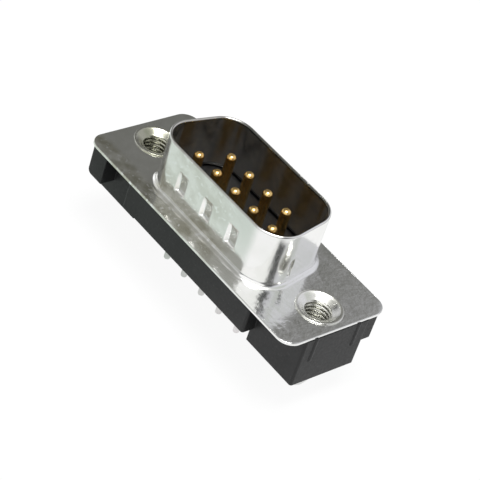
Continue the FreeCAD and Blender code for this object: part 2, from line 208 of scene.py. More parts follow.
def turned(profile, centre, sides):
    """A profile of (radius, height) turned about an upright axis, row by row:
    x = centre x + radius * cos angle, y = centre y + radius * sin angle, z = height."""
    angle = np.linspace(0, 2 * np.pi, sides, endpoint=False)
    radius, height = profile[:, 0][:, None], profile[:, 1][:, None]
    points = np.stack([centre[0] + radius * np.cos(angle), centre[1] + radius * np.sin(angle),
                       height + 0 * angle], axis=-1)
    return points.reshape(-1, 3)


def box_middle(low, high):
    """The middle of a box in plan."""
    return (low.x + high.x) / 2, (low.y + high.y) / 2


# The drawn shell

def d_outline(long, wide, corner):
    """The mouth's D outline, counter-clockwise, and its outward normals. Straight sides are
    sampled closely enough for the dents, and corners are arcs about four fixed centres:
    point = corner centre + corner radius * normal. An offset outline is
    outline + offset * normal."""
    low, high = -(wide / 2 - corner), wide / 2 - corner
    broad = long / 2 - corner
    slim = broad - (high - low) * np.tan(SIDE_ANGLE)
    lean = np.degrees(SIDE_ANGLE)
    centres = [(broad, low, -90.0, lean), (slim, high, lean, 90.0),
               (-slim, high, 90.0, 180.0 - lean), (-broad, low, 180.0 - lean, 270.0)]
    points, normals = [], []
    for (cx, cy, start, end), steps, following in zip(centres, D_SIDE_POINTS,
                                                      centres[1:] + centres[:1]):
        angle = np.radians(np.linspace(start, end, D_CORNER_POINTS))
        normal = np.stack([np.cos(angle), np.sin(angle)], axis=1)
        points.append(np.array([cx, cy]) + corner * normal)
        normals.append(normal)
        leave = points[-1][-1]
        arrive = np.array(following[:2]) + corner * normal[-1]
        share = np.linspace(0, 1, steps + 2)[1:-1, None]
        points.append(leave * (1 - share) + arrive * share)
        normals.append(np.repeat(normal[-1:], steps, axis=0))
    return np.concatenate(points), np.concatenate(normals)


def box_dent(across, along, half_wide, half_tall, slope, step, rise):
    """A dent's depth, from 0 outside it to 1 at its foot. Its floor is a ramp that starts
    flush at the top and ends in a short step at the bottom, and its sides slope too:
    depth = side distance over slope * ramp to the power rise * smooth step of the foot
    distance over step, each held between 0 and 1."""
    sides = np.clip((half_wide - np.abs(across)) / slope, 0, 1)
    foot = np.clip((along + half_tall) / step, 0, 1)
    ramp = np.clip((half_tall - along) / (2 * half_tall), 0, 1) ** rise
    return sides * foot * foot * (3 - 2 * foot) * ramp


def dent_depth(outline, normals, height, inner):
    """How far each point of the skirt is pressed in: the deepest of the three dents in the
    wide wall and one in each end wall. On the inner face the dents are wider, softer and
    shallower, as the sheet's thickness spreads them."""
    grow, slope, step, rise, share = 0.0, DENT_SLOPE, DENT_STEP, DENT_RAMP, 1.0
    if inner:
        grow, slope, step = INNER_DENT_GROW, INNER_DENT_SLOPE, INNER_DENT_SLOPE
        rise, share = INNER_DENT_RAMP, INNER_DENT_SHARE
    x, y = outline[:, 0][None, :], outline[:, 1][None, :]
    above = height[:, None] - FLANGE_TOP
    half_tall = DENT_TALL / 2 + grow
    depth = np.zeros((len(height), len(outline)))
    wide_wall = (normals[:, 1] < NORMAL_SLACK - 1)[None, :]
    for middle in (-DENT_PITCH, 0.0, DENT_PITCH):
        dent = box_dent(x - middle, above - DENT_RISE, DENT_WIDE / 2 + grow,
                        half_tall, slope, step, rise)
        depth = np.maximum(depth, dent * wide_wall)
    leaning = np.abs(np.abs(normals[:, 0]) - np.cos(SIDE_ANGLE)) < NORMAL_SLACK
    end_wall = (leaning & (normals[:, 1] > 0))[None, :]
    along_wall = (y - END_DENT_SHIFT) / np.cos(SIDE_ANGLE)
    dent = box_dent(along_wall, above - END_DENT_RISE, END_DENT_WIDE / 2 + grow,
                    half_tall, slope, step, rise)
    return np.maximum(depth, dent * end_wall) * DENT_DEEP * share


def skirt_section():
    """The skirt's section as (offset from the mouth outline, height): its outside from the
    flange's top up to the rim, and its inside from the rim down to the flange's underside."""
    centre = (SHEET + FOOT_BEND, FLANGE_TOP + FOOT_BEND)
    rim_start = MOUTH_TOP - RIM_ROLL
    foot_out = arc(centre, FOOT_BEND, 270, 180, steps=12)
    wall_out = line((SHEET, centre[1]), (SHEET, rim_start), WALL_POINTS)
    roll_out = arc((SHEET - RIM_ROLL, rim_start), RIM_ROLL, 0, 90, steps=6)
    roll_in = arc((RIM_ROLL, rim_start), RIM_ROLL, 90, 180, steps=6)
    wall_in = line((0, rim_start), (0, centre[1]), WALL_POINTS)
    foot_in = arc(centre, FOOT_BEND + SHEET, 180, 270, steps=16)
    return join(foot_out, wall_out, roll_out), join(roll_in, wall_in, foot_in)


def skirt_points(section, outline, normals, inner=False):
    """The section carried round the outline: outline + (offset - dent depth) * normal."""
    offset, height = section[:, 0][:, None], section[:, 1]
    reach = offset - dent_depth(outline, normals, height, inner)
    x = outline[:, 0] + reach * normals[:, 0]
    y = outline[:, 1] + reach * normals[:, 1]
    z = np.repeat(height[:, None], len(outline), axis=1)
    return np.stack([x, y, z], axis=-1).reshape(-1, 3)


def round_rectangle(half_x, half_y, corner):
    """A rectangle with quarter-circle corners, counter-clockwise."""
    in_x, in_y = half_x - corner, half_y - corner
    quarters = [((in_x, in_y), 0), ((-in_x, in_y), 90),
                ((-in_x, -in_y), 180), ((in_x, -in_y), 270)]
    return np.concatenate([arc(centre, corner, start, start + 90, steps=14)
                           for centre, start in quarters])


def inside_loop(points, loop):
    """Whether each point lies in a closed loop: a level ray from it crosses the loop's
    sides an odd number of times. A level side is never crossed, whatever its rise."""
    x, y = points[:, 0][:, None], points[:, 1][:, None]
    ax, ay = loop[:, 0], loop[:, 1]
    bx, by = np.roll(ax, -1), np.roll(ay, -1)
    spans = (ay > y) != (by > y)
    rise = np.where(by == ay, 1.0, by - ay)
    reach = ax + (y - ay) * (bx - ax) / rise
    return (spans & (x < reach)).sum(axis=1) % 2 == 1


def plate_with_holes(outer, holes, level):
    """A flat face at a level, inside an outer loop and outside each hole loop, cut into
    triangles along the loops. Triangles whose middle falls in a hole are left out."""
    loops = [outer] + holes
    points = np.concatenate(loops)
    edges, first = [], 0
    for loop in loops:
        index = np.arange(len(loop))
        edges += (np.column_stack([index, (index + 1) % len(loop)]) + first).tolist()
        first += len(loop)
    inside_only = 1
    found = delaunay_2d_cdt([Vector(point) for point in points], edges, [],
                            inside_only, SAME_POINT)
    corners = np.array([tuple(point) for point in found[0]])
    triangles = np.array(found[2])
    middle = corners[triangles].mean(axis=1)
    keep = ~np.any([inside_loop(middle, hole) for hole in holes], axis=0)
    return lift(corners, level), triangles[keep]


def flange_loop(inset):
    """The flange's outline, drawn in by an inset."""
    return round_rectangle(SHELL_HIGH[0] - inset, SHELL_HIGH[1] - inset, FLANGE_CORNER - inset)


def flange_edge(face_level, side_level):
    """The rolled edge between a face of the flange and its side. With t from 0 to 90
    degrees, inset = roll * (1 - sin t), and
    height = side's level + (face's level - side's level) * cos t."""
    turns = np.radians(np.linspace(0, 90, num=5))
    rings = [lift(flange_loop(EDGE_ROLL * (1 - np.sin(turn))),
                  side_level + (face_level - side_level) * np.cos(turn)) for turn in turns]
    return np.concatenate(rings), grid_faces(len(rings), len(rings[0]))


def upright_band(loop, top, bottom):
    """A wall between two levels, straight down from a closed loop."""
    return np.concatenate([lift(loop, top), lift(loop, bottom)]), grid_faces(2, len(loop))


def build_shell():
    """Flange and skirt as one closed sheet of steel."""
    outline, normals = d_outline(MOUTH_LONG, MOUTH_WIDE, MOUTH_CORNER)
    outside, inside = skirt_section()
    rim = np.stack([outside[-1], inside[0]])
    parts = [(skirt_points(section, outline, normals, inner),
              grid_faces(len(section), len(outline)))
             for section, inner in ((outside, False), (inside, True), (rim, False))]

    foot = outline + (SHEET + FOOT_BEND) * normals
    insert_x = abs(box_middle(*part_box("threaded_insert_right"))[0])
    holes = [arc((side * insert_x, 0.0), INSERT_HOLE, 0, 360, steps=HOLE_SIDES + 1)[:-1]
             for side in (-1, 1)]
    side_top, side_bottom = FLANGE_TOP - EDGE_ROLL, FLANGE_UNDER + EDGE_ROLL
    for level, side_level in ((FLANGE_TOP, side_top), (FLANGE_UNDER, side_bottom)):
        parts.append(plate_with_holes(flange_loop(EDGE_ROLL), [foot] + holes, level))
        parts.append(flange_edge(level, side_level))
    parts.append(upright_band(flange_loop(0.0), side_top, side_bottom))
    parts += [upright_band(hole, FLANGE_TOP, FLANGE_UNDER) for hole in holes]

    piece = make_mesh("drawn_shell", parts)
    merge_doubles(piece)
    soften_normals(piece, CRISP_ANGLE)
    return piece


# Contacts and inserts

def build_contact(number):
    """A domed pin, the collar hidden between the mouldings, and a rounded solder tail: one
    profile turned about the pin's axis. Its ends shrink to a point when doubles merge."""
    low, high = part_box("contact_%d" % number)
    collar = (high.x - low.x) / 2
    collar_foot = PLATE_UNDER - COLLAR_TALL
    profile = join(
        np.array([[0.0, low.z]]),
        arc((TAIL_RADIUS - TAIL_ROUND, low.z + TAIL_ROUND), TAIL_ROUND, -90, 0, steps=8),
        np.array([[TAIL_RADIUS, TAIL_SHOULDER - TAIL_BEVEL],
                  [TAIL_RADIUS + TAIL_BEVEL, TAIL_SHOULDER], [SHANK_RADIUS, TAIL_SHOULDER],
                  [SHANK_RADIUS, collar_foot], [collar, collar_foot],
                  [collar, PLATE_UNDER], [PIN_RADIUS, PLATE_UNDER]]),
        arc((PIN_RADIUS - PIN_ROUND, high.z - PIN_ROUND), PIN_ROUND, 0, 90, steps=14),
        np.array([[0.0, high.z]]))
    points = turned(profile, box_middle(low, high), CONTACT_SIDES)
    faces = grid_faces(len(profile), CONTACT_SIDES)
    piece = make_mesh("gold_pin_%d" % number, [(points, faces)])
    merge_doubles(piece)
    soften_normals(piece, CRISP_ANGLE)
    return piece


def thread_wall(centre, top, bottom):
    """The tapped bore: radius = crest + depth * ridge(height / pitch - angle / turn), where
    ridge is half of one minus the cosine of a turn, faded out at the foot."""
    angle = np.linspace(0, 2 * np.pi, INSERT_SIDES, endpoint=False)
    rows = int((top - bottom) / THREAD_PITCH * ROWS_PER_TURN)
    height = np.linspace(top, bottom, rows)
    phase = height[:, None] / THREAD_PITCH - angle[None, :] / (2 * np.pi)
    ridge = 0.5 - 0.5 * np.cos(2 * np.pi * phase)
    fade = np.clip((height - bottom) / THREAD_PITCH, 0, 1)[:, None]
    radius = THREAD_CREST + THREAD_DEPTH * ridge * fade
    x = centre[0] + radius * np.cos(angle)
    y = centre[1] + radius * np.sin(angle)
    z = np.repeat(height[:, None], INSERT_SIDES, axis=1)
    return np.stack([x, y, z], axis=-1).reshape(-1, 3)


def build_insert(side):
    """A tube flared over the flange like a trumpet, with a tapped bore and a rear spigot.
    The flare goes from the lip's flat ring to the bore. With s from 0 to 1 along it,
    radius = ring's edge - s * width, and
    height = top - depth * (s to the power 1.5 * (1 - s) + s squared)."""
    low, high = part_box("threaded_insert_" + side)
    centre = box_middle(low, high)
    lip = (high.x - low.x) / 2
    top = high.z
    flare_edge = lip - LIP_ROLL - LIP_FLAT
    flare_width = flare_edge - THREAD_CREST - THREAD_DEPTH
    share = np.linspace(0, 1, FLARE_POINTS)
    sunk = share ** 1.5 * (1 - share) + share * share
    flare = np.stack([flare_edge - flare_width * share, top - FLARE_DEEP * sunk], axis=1)
    outer = join(
        np.array([[0.0, low.z], [SPIGOT_RADIUS, low.z], [SPIGOT_RADIUS, BARREL_FOOT],
                  [BARREL_RADIUS, BARREL_FOOT], [BARREL_RADIUS, FLANGE_TOP], [lip, FLANGE_TOP]]),
        arc((lip - LIP_ROLL, top - LIP_ROLL), LIP_ROLL, 0, 90, steps=8),
        flare)
    floor = np.array([[THREAD_CREST, THREAD_FLOOR], [0.0, THREAD_FLOOR]])
    points = np.concatenate([turned(outer, centre, INSERT_SIDES),
                             thread_wall(centre, top - FLARE_DEEP - THREAD_LEAD, THREAD_FLOOR),
                             turned(floor, centre, INSERT_SIDES)])
    faces = grid_faces(len(points) // INSERT_SIDES, INSERT_SIDES)
    piece = make_mesh("flared_insert_" + side, [(points, faces)])
    merge_doubles(piece)
    soften_normals(piece, CRISP_INSERT_ANGLE)
    return piece


# Shader nodes

def place(tree, kind, settings=None, **values):
    """A node with its settings and unlinked input values."""
    node = tree.nodes.new(kind)
    for key, value in (settings or {}).items():
        setattr(node, key, value)
    for key, value in values.items():
        node.inputs[key.replace("_", " ")].default_value = value
    return node


def feed(tree, value, socket):
    """Links an output to an input, or sets the input to a plain number or vector."""
    if isinstance(value, (int, float, tuple)):
        socket.default_value = value
    else:
        tree.links.new(value, socket)


def math_node(tree, operation, a, b):
    """A Math node fed by sockets or plain numbers. Returns its output socket."""
    node = place(tree, "ShaderNodeMath", {"operation": operation})
    feed(tree, a, node.inputs[0])
    feed(tree, b, node.inputs[1])
    return node.outputs[0]


def vector_node(tree, operation, a, b=None):
    """A Vector Math node fed by sockets or plain vectors. Returns the node's outputs."""
    node = place(tree, "ShaderNodeVectorMath", {"operation": operation})
    feed(tree, a, node.inputs[0])
    if b is not None:
        feed(tree, b, node.inputs[1])
    return node.outputs


def axes(tree, vector):
    """The X, Y and Z of a vector."""
    split = tree.nodes.new("ShaderNodeSeparateXYZ")
    tree.links.new(vector, split.inputs["Vector"])
    return split.outputs


def noise(tree, coordinates, scale, **values):
    """A noise texture on the coordinates. The scale is a socket or a number."""
    node = place(tree, "ShaderNodeTexNoise", **values)
    tree.links.new(coordinates, node.inputs["Vector"])
    feed(tree, scale, node.inputs["Scale"])
    return node.outputs["Fac"]


def mix_colours(tree, mask, first, second):
    """Colour first where the mask is 0 and second where it is 1."""
    mix = place(tree, "ShaderNodeMix", {"data_type": "RGBA"})
    tree.links.new(mask, mix.inputs["Factor"])
    for index, colour in ((6, first), (7, second)):
        feed(tree, (*colour, 1.0) if isinstance(colour, tuple) else colour, mix.inputs[index])
    return mix.outputs[2]


def remap(tree, value, low, high, to_low=0.0, to_high=1.0):
    """Takes a value's range low to high onto another range, and holds it there."""
    node = place(tree, "ShaderNodeMapRange",
                 From_Min=low, From_Max=high, To_Min=to_low, To_Max=to_high)
    tree.links.new(value, node.inputs["Value"])
    return node.outputs["Result"]


def bump(tree, height, shader, strength, distance):
    """A Bump node between a height and the shader's normal."""
    node = place(tree, "ShaderNodeBump", Strength=strength, Distance=distance)
    tree.links.new(height, node.inputs["Height"])
    tree.links.new(node.outputs["Normal"], shader.inputs["Normal"])
    return node


def new_group(name, inputs, outputs):
    """A shader node group with named float or vector sockets."""
    group = bpy.data.node_groups.new(name, "ShaderNodeTree")
    for socket, kind, value in inputs:
        made = group.interface.new_socket(name=socket, in_out="INPUT", socket_type=kind)
        if value is not None:
            made.default_value = value
    for socket in outputs:
        group.interface.new_socket(name=socket, in_out="OUTPUT", socket_type="NodeSocketFloat")
    return group, group.nodes.new("NodeGroupInput"), group.nodes.new("NodeGroupOutput")


# Noises of the skins, in cells per metre, and each noise's share of the height
GRAIN_CELLS, MOTTLE_CELLS, RUB_CELLS = 900.0, 120.0, 2600.0
GRAIN_SHARE, RUB_SHARE, RUB_POWER = 0.6, 0.5, 3.0
RUB_STRETCH, RUB_TURN = (0.12, 1.0, 0.12), (0.0, 0.0, 0.5)
SPARK_CELLS, CLOUD_CELLS, FIBRE_CELLS = 3500.0, 260.0, 2200.0
FIBRE_REACH = 0.16


def build_plating_group():
    """Plated metal: slow mottling, fine grain and a few hairline rubs. The outputs are a
    mottle mask, a grain mask for the gloss and a height:
    height = grain * its share + rub to the power of three * its share."""
    group, start, end = new_group(
        "plated_skin",
        [("Coordinates", "NodeSocketVector", None),
         ("Grain Size", "NodeSocketFloat", GRAIN_CELLS),
         ("Mottle Size", "NodeSocketFloat", MOTTLE_CELLS)],
        ["Mottle", "Grain", "Height"])
    coordinates = start.outputs["Coordinates"]
    mottle = noise(group, coordinates, start.outputs["Mottle Size"], Detail=3.0,
                   Roughness=0.55)
    grain = noise(group, coordinates, start.outputs["Grain Size"], Detail=2.0, Roughness=0.6)
    stretch = place(group, "ShaderNodeMapping", Scale=RUB_STRETCH, Rotation=RUB_TURN)
    group.links.new(coordinates, stretch.inputs["Vector"])
    rub = noise(group, stretch.outputs["Vector"], RUB_CELLS, Detail=1.0)
    hairline = math_node(group, "MULTIPLY", math_node(group, "POWER", rub, RUB_POWER), RUB_SHARE)
    height = math_node(group, "ADD", math_node(group, "MULTIPLY", grain, GRAIN_SHARE), hairline)
    group.links.new(mottle, end.inputs["Mottle"])
    group.links.new(grain, end.inputs["Grain"])
    group.links.new(height, end.inputs["Height"])
    return group


def build_moulding_group():
    """Glass-filled moulding: spark texture of the mould and pale fibre specks. The outputs
    are a speck mask, a cloud mask and a height."""
    group, start, end = new_group(
        "moulded_skin",
        [("Coordinates", "NodeSocketVector", None),
         ("Spark Size", "NodeSocketFloat", SPARK_CELLS)],
        ["Specks", "Cloud", "Height"])
    coordinates = start.outputs["Coordinates"]
    spark = noise(group, coordinates, start.outputs["Spark Size"], Detail=3.0, Roughness=0.65)
    cloud = noise(group, coordinates, CLOUD_CELLS, Detail=3.0)
    fibre = place(group, "ShaderNodeTexVoronoi", Scale=FIBRE_CELLS)
    group.links.new(coordinates, fibre.inputs["Vector"])
    near = math_node(group, "LESS_THAN", fibre.outputs["Distance"], FIBRE_REACH)
    group.links.new(math_node(group, "MULTIPLY", near, cloud), end.inputs["Specks"])
    group.links.new(cloud, end.inputs["Cloud"])
    group.links.new(spark, end.inputs["Height"])
    return group


PLATED = build_plating_group()
MOULDED = build_moulding_group()


# Materials

# Tones of each finish, and the tones painted on as shade on the shell and the inserts
WHITE = (1.0, 1.0, 1.0)
TIN_GREY, TIN_BRIGHT = (0.84, 0.845, 0.825), (0.89, 0.89, 0.88)
WORN_GREY, WORN_BRIGHT = (0.62, 0.61, 0.53), (0.92, 0.92, 0.88)
# The skirt's inside and the rim's inner edge: darker tones painted on as shade
INSIDE_PAINTED_SHADE, RIM_PAINTED_SHADE = (0.72, 0.7, 0.66), (0.2, 0.2, 0.19)
NICKEL_GREY, NICKEL_BRIGHT = (0.76, 0.76, 0.71), (0.86, 0.86, 0.82)
# Painted shade on the inserts: on the left insert where the skirt shades it, and down the bore
NICKEL_SKIRT_SHADE, NICKEL_BORE_SHADE = (0.4, 0.4, 0.32), (0.36, 0.36, 0.32)
LOCK_GREY, LOCK_BRIGHT = (0.6, 0.6, 0.59), (0.78, 0.78, 0.77)
GOLD_DEEP, GOLD_BRIGHT = (0.76, 0.49, 0.17), (0.92, 0.66, 0.28)
TAIL_GREY, TAIL_BRIGHT = (0.66, 0.64, 0.64), (0.84, 0.82, 0.82)
HOUSING_DARK, HOUSING_CLOUD = (0.01, 0.0104, 0.0106), (0.014, 0.0144, 0.0146)
INSULATOR_DARK, INSULATOR_CLOUD = (0.007, 0.007, 0.0075), (0.01, 0.01, 0.0105)
FIBRE_GREY = (0.1, 0.1, 0.1)

# How deep a full bump is, how strong each piece's bump is, and how far the mouldings'
# edges are softened
METAL_RELIEF = 0.02 * MM
PIN_RELIEF = 0.01 * MM
MOULD_RELIEF = 0.02 * MM
SHELL_BUMP, INSERT_BUMP, LOCK_BUMP, CONTACT_BUMP, MOULD_BUMP = 0.35, 0.06, 0.12, 0.1, 0.25
MOULD_EDGE = 0.12 * MM
MOULD_EDGE_SAMPLES = 6

# Roughness of each finish, from and to
TIN_ROUGH, INSERT_ROUGH, LOCK_ROUGH = (0.12, 0.2), (0.2, 0.28), (0.25, 0.36)
CONTACT_ROUGH, HOUSING_ROUGH, INSULATOR_ROUGH = (0.3, 0.42), (0.42, 0.55), (0.3, 0.4)

# How much of the fibre specks' grey shows
SPECK_SHARE = 0.25

# The part of a noise's range that a mask is stretched over
NOISE_SPAN = (0.3, 0.7)
CLOUD_SPAN = (0.35, 0.65)
PATCH_SPAN = (0.4, 0.6)
GLINT_SPAN = (0.62, 0.68)

# Noises of the shell's strip, for its patches of wear, its painted glints and its waves, in
# cells per metre
PATCH_CELLS, GLINT_CELLS, WAVE_CELLS = 520.0, 2300.0, 620.0

# Where the shell's finish changes, and where its painted shade and painted glints go.
# INSIDE_SPAN is of the level place times the facing, which is below zero where the surface faces
# the connector's middle; it places the inside's painted shade, roughness and calmer bump.
# RIM_Z, RIM_LEFT_X and RIM_LEFT_SHARE place the painted shade on the rim's inner edge, and the
# strip's x range places its patches of wear and painted glints.
INSIDE_SPAN = (-1.0 * MM, -0.2 * MM)
BRUSHED_X = (-7.0 * MM, 9.0 * MM)
STRIP_Y = (-4.2 * MM, -4.9 * MM)
WEAR_AND_GLINT_X = (1.0 * MM, 5.0 * MM)
RIM_Z = (MOUTH_TOP - 0.3 * MM, MOUTH_TOP - 0.2 * MM)
RIM_LEFT_X = (-8.2 * MM, -6.2 * MM)
RIM_LEFT_SHARE = 0.2
LEVEL_FACING = (0.6, 0.95)

# How strong the shell's waves and brushing are, how much of them the inside loses, and
# what its roughness gains
SWELL_HEIGHT = 9.0
BRUSH_HEIGHT = (0.4, 5.0)
UPRIGHT_BRUSH = 0.15
INSIDE_CALM = 0.97
INSIDE_DULLER = 0.03

# Where the inserts' painted shade falls, and where the contacts' finish changes
INSERT_LEFT_X = (5.0 * MM, -5.0 * MM)
INSERT_RIGHT_FACING = (-0.2, 0.35)
BORE_Z = (FLANGE_TOP - 0.8 * MM, FLANGE_TOP - 2.2 * MM)
BORE_DARKEN = 0.45
GOLD_Z = (2.6 * MM, 2.9 * MM)
GOLD_GLOSSIER = 0.16


def new_material(name):
    """A material with nodes. Returns it with its tree and its Principled shader."""
    material = bpy.data.materials.new(name)
    material.use_nodes = True
    tree = material.node_tree
    return material, tree, tree.nodes["Principled BSDF"]


def skinned(tree, group, **sizes):
    """A skin group on Object coordinates. Returns the Texture Coordinate node's outputs and
    the skin's outputs."""
    place_of = tree.nodes.new("ShaderNodeTexCoord")
    skin = place(tree, "ShaderNodeGroup", {"node_tree": group}, **sizes)
    tree.links.new(place_of.outputs["Object"], skin.inputs["Coordinates"])
    return place_of.outputs, skin.outputs


def plated_metal(name, dark, pale, rough, strength):
    """Metal whose colour drifts between two tones and whose roughness goes from one value
    to another with its grain."""
    material, tree, shader = new_material(name)
    _, skin = skinned(tree, PLATED, Grain_Size=1600.0, Mottle_Size=300.0)
    tone = mix_colours(tree, remap(tree, skin["Mottle"], *NOISE_SPAN), dark, pale)
    tree.links.new(tone, shader.inputs["Base Color"])
    tree.links.new(remap(tree, skin["Grain"], *NOISE_SPAN, *rough), shader.inputs["Roughness"])
    shader.inputs["Metallic"].default_value = 1.0
    bump(tree, skin["Height"], shader, strength, METAL_RELIEF)
    return material


def insert_metal():
    """The inserts' nickel, with painted shade: darker on the left insert's side that faces
    right, standing in for the skirt's shadow and reflection, and darker down the threads,
    standing in for shade in the bore."""
    material = plated_metal("nickel_insert", NICKEL_GREY, NICKEL_BRIGHT,
                            INSERT_ROUGH, INSERT_BUMP)
    tree = material.node_tree
    base = tree.nodes["Principled BSDF"].inputs["Base Color"]
    place_of = tree.nodes.new("ShaderNodeTexCoord").outputs
    at, facing = axes(tree, place_of["Object"]), axes(tree, place_of["Normal"])
    # Painted shade on the left insert's right-facing side, standing in for the skirt's shadow
    # and reflection
    skirt_shade = math_node(tree, "MULTIPLY", remap(tree, at["X"], *INSERT_LEFT_X),
                     remap(tree, facing["X"], *INSERT_RIGHT_FACING))
    tone = mix_colours(tree, skirt_shade, base.links[0].from_socket, NICKEL_SKIRT_SHADE)
    # Painted shade that grows down the bore
    bore_shade = remap(tree, at["Z"], *BORE_Z, 0.0, BORE_DARKEN)
    tree.links.new(mix_colours(tree, bore_shade, tone, NICKEL_BORE_SHADE), base)
    return material


def shell_metal():
    """The drawn shell's plating: calm on the flange's left and brushed towards its right,
    wavy on the strip in front of the skirt, with patches of wear and painted glints on that
    strip's left; the glints are painted reflections of the dents' highlights. Inside the skirt
    it is smooth and painted darker as shade, and the rim's inner edge gets a dark painted shade,
    faint at the left end."""
    material, tree, shader = new_material("tin_plated_shell")
    place_of, skin = skinned(tree, PLATED, Grain_Size=1500.0, Mottle_Size=260.0)
    coordinates = place_of["Object"]
    at, facing = axes(tree, coordinates), axes(tree, place_of["Normal"])

    # Masks of where things are
    level_place = vector_node(tree, "MULTIPLY", coordinates, (1.0, 1.0, 0.0))["Vector"]
    outward = vector_node(tree, "DOT_PRODUCT", level_place, place_of["Normal"])["Value"]
    inside = remap(tree, outward, *INSIDE_SPAN, 1.0, 0.0)
    to_right = remap(tree, at["X"], *BRUSHED_X)
    to_front = remap(tree, at["Y"], *STRIP_Y)
    level_part = remap(tree, facing["Z"], *LEVEL_FACING, UPRIGHT_BRUSH, 1.0)
    left_strip = math_node(tree, "MULTIPLY", to_front, remap(tree, at["X"], *WEAR_AND_GLINT_X, 1.0, 0.0))
    # The rim's inner edge gets painted shade, faint at its left end
    at_rim = math_node(tree, "MULTIPLY", remap(tree, at["Z"], *RIM_Z),
                       remap(tree, at["X"], *RIM_LEFT_X, RIM_LEFT_SHARE, 1.0))
    rim_shade = math_node(tree, "MULTIPLY", inside, at_rim)

    tone = mix_colours(tree, remap(tree, skin["Mottle"], *CLOUD_SPAN), TIN_GREY, TIN_BRIGHT)
    patch = noise(tree, coordinates, PATCH_CELLS, Detail=2.5, Roughness=0.6)
    glint = noise(tree, coordinates, GLINT_CELLS, Detail=1.0)
    wear_and_painted_glints = mix_colours(tree, remap(tree, patch, *PATCH_SPAN), WORN_GREY, WORN_BRIGHT)
    # Painted glints: white specks that stand in for reflections of the dents' highlights
    wear_and_painted_glints = mix_colours(tree, remap(tree, glint, *GLINT_SPAN), wear_and_painted_glints, WHITE)
    tone = mix_colours(tree, left_strip, tone, wear_and_painted_glints)
    # Painted shade: the skirt's inside and the rim's inner edge are darkened in colour
    tone = mix_colours(tree, inside, tone, INSIDE_PAINTED_SHADE)
    tree.links.new(mix_colours(tree, rim_shade, tone, RIM_PAINTED_SHADE), shader.inputs["Base Color"])
    rough = math_node(tree, "ADD", remap(tree, skin["Grain"], *NOISE_SPAN, *TIN_ROUGH),
                      math_node(tree, "MULTIPLY", inside, INSIDE_DULLER))
    tree.links.new(rough, shader.inputs["Roughness"])
    shader.inputs["Metallic"].default_value = 1.0

    wave = noise(tree, coordinates, WAVE_CELLS, Detail=2.0, Roughness=0.5)
    swell = math_node(tree, "MULTIPLY", wave,
                      math_node(tree, "MULTIPLY", to_front, SWELL_HEIGHT))
    brushed = math_node(tree, "MULTIPLY", remap(tree, to_right, 0.0, 1.0, *BRUSH_HEIGHT),
                        level_part)
    brush = math_node(tree, "MULTIPLY", skin["Height"], brushed)
    calm = math_node(tree, "SUBTRACT", 1.0, math_node(tree, "MULTIPLY", inside, INSIDE_CALM))
    height = math_node(tree, "MULTIPLY", math_node(tree, "ADD", swell, brush), calm)
    bump(tree, height, shader, SHELL_BUMP, METAL_RELIEF)
    return material


def contact_metal():
    """Gold on the pin, tin on the solder tail: the change is at the housing, by height."""
    material, tree, shader = new_material("gold_and_tin")
    place_of, skin = skinned(tree, PLATED, Grain_Size=2500.0, Mottle_Size=500.0)
    gold = remap(tree, axes(tree, place_of["Object"])["Z"], *GOLD_Z)
    mask = remap(tree, skin["Mottle"], *NOISE_SPAN)
    gold_tone = mix_colours(tree, mask, GOLD_DEEP, GOLD_BRIGHT)
    tin_tone = mix_colours(tree, mask, TAIL_GREY, TAIL_BRIGHT)
    tree.links.new(mix_colours(tree, gold, tin_tone, gold_tone), shader.inputs["Base Color"])
    rough = math_node(tree, "SUBTRACT", remap(tree, skin["Grain"], *NOISE_SPAN, *CONTACT_ROUGH),
                      math_node(tree, "MULTIPLY", gold, GOLD_GLOSSIER))
    tree.links.new(rough, shader.inputs["Roughness"])
    shader.inputs["Metallic"].default_value = 1.0
    bump(tree, skin["Height"], shader, CONTACT_BUMP, PIN_RELIEF)
    return material


def black_moulding(name, base, cloud, rough, specular):
    """Black glass-filled plastic with a fine mould texture and softened edges, whose
    roughness goes from one value to another with the texture."""
    material, tree, shader = new_material(name)
    _, skin = skinned(tree, MOULDED)
    tone = mix_colours(tree, remap(tree, skin["Cloud"], *CLOUD_SPAN), base, cloud)
    specks = math_node(tree, "MULTIPLY", skin["Specks"], SPECK_SHARE)
    tree.links.new(mix_colours(tree, specks, tone, FIBRE_GREY), shader.inputs["Base Color"])
    tree.links.new(remap(tree, skin["Height"], *NOISE_SPAN, *rough), shader.inputs["Roughness"])
    shader.inputs["Specular IOR Level"].default_value = specular
    rounded = place(tree, "ShaderNodeBevel", {"samples": MOULD_EDGE_SAMPLES}, Radius=MOULD_EDGE)
    grain = bump(tree, skin["Height"], shader, MOULD_BUMP, MOULD_RELIEF)
    tree.links.new(rounded.outputs["Normal"], grain.inputs["Normal"])
    return material


def dress(piece, material):
    """Gives a piece one material in place of what it had."""
    piece.data.materials.clear()
    piece.data.materials.append(material)


# Stage, world, lamp and camera

FLOOR_HALF = 2.0
FLOOR_GREY = (0.8, 0.8, 0.8, 1.0)
FLOOR_GLOW_SHARE = 0.92
FLOOR_MIRRORED_LEFT = (0.62, 0.69, 0.64)
FLOOR_MIRRORED_FAR = (0.38, 0.38, 0.38)
FLOOR_LEFT_X = (-6.0 * MM, 5.0 * MM)
FLOOR_FAR = (34.0 * MM, 52.0 * MM)


